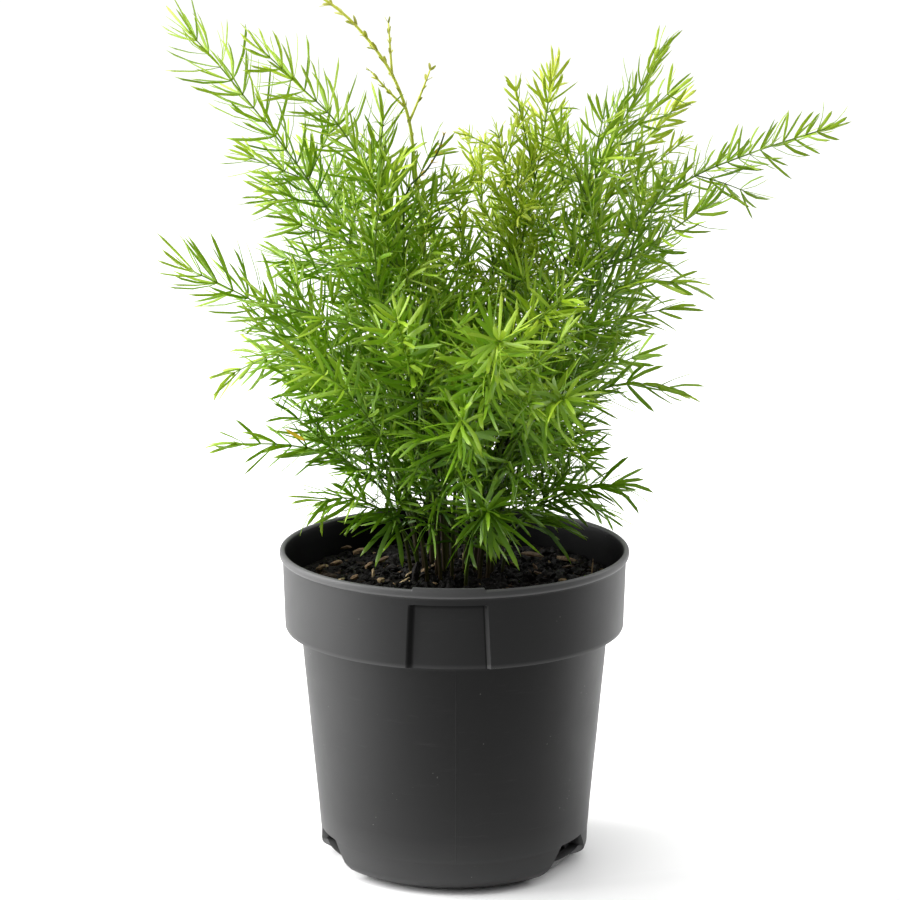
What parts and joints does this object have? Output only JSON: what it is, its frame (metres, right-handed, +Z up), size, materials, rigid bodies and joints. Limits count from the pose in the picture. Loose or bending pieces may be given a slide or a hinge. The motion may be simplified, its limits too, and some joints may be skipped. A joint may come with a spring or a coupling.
{
  "type": "potted foxtail fern",
  "caption": "Bushy asparagus fern with arching needle-leaved stems, rooted in soil in a plain round plastic nursery pot that stands on its flat base.",
  "frame": {"origin": "centre of the pot's underside, on the surface that it stands on", "axes": "+Z up; -Y is the front, where the pot has its label panel; +X to the right seen from the front"},
  "size_m": [0.2798, 0.2476, 0.3726],
  "materials": {
    "pot_plastic": "satin",
    "potting_soil": "rough",
    "foliage_mature": "satin",
    "foliage_young": "satin",
    "new_shoot": "satin"
  },
  "bodies": {
    "root": {"pot": "pot_plastic", "soil": "potting_soil", "leafy_stem_01": "foliage_mature", "leafy_stem_02": "foliage_mature", "leafy_stem_03": "new_shoot", "leafy_stem_04": "foliage_mature", "leafy_stem_05": "foliage_mature", "leafy_stem_06": "foliage_mature", "leafy_stem_07": "foliage_mature", "leafy_stem_08": "foliage_mature", "leafy_stem_09": "foliage_mature", "leafy_stem_10": "foliage_young", "leafy_stem_11": "foliage_mature", "leafy_stem_12": "foliage_mature", "leafy_stem_13": "foliage_young", "leafy_stem_14": "foliage_mature", "leafy_stem_15": "foliage_mature", "leafy_stem_16": "foliage_mature", "leafy_stem_17": "foliage_mature", "leafy_stem_18": "foliage_mature", "leafy_stem_19": "foliage_mature", "leafy_stem_20": "foliage_mature", "leafy_stem_21": "foliage_young", "leafy_stem_22": "foliage_mature", "leafy_stem_23": "foliage_mature", "leafy_stem_24": "foliage_mature", "leafy_stem_25": "foliage_mature", "leafy_stem_26": "foliage_young", "leafy_stem_27": "foliage_mature", "leafy_stem_28": "foliage_mature", "leafy_stem_29": "foliage_mature", "leafy_stem_30": "foliage_mature", "leafy_stem_31": "foliage_mature", "leafy_stem_32": "foliage_mature", "leafy_stem_33": "foliage_mature", "leafy_stem_34": "foliage_mature"}
  },
  "joints": []
}
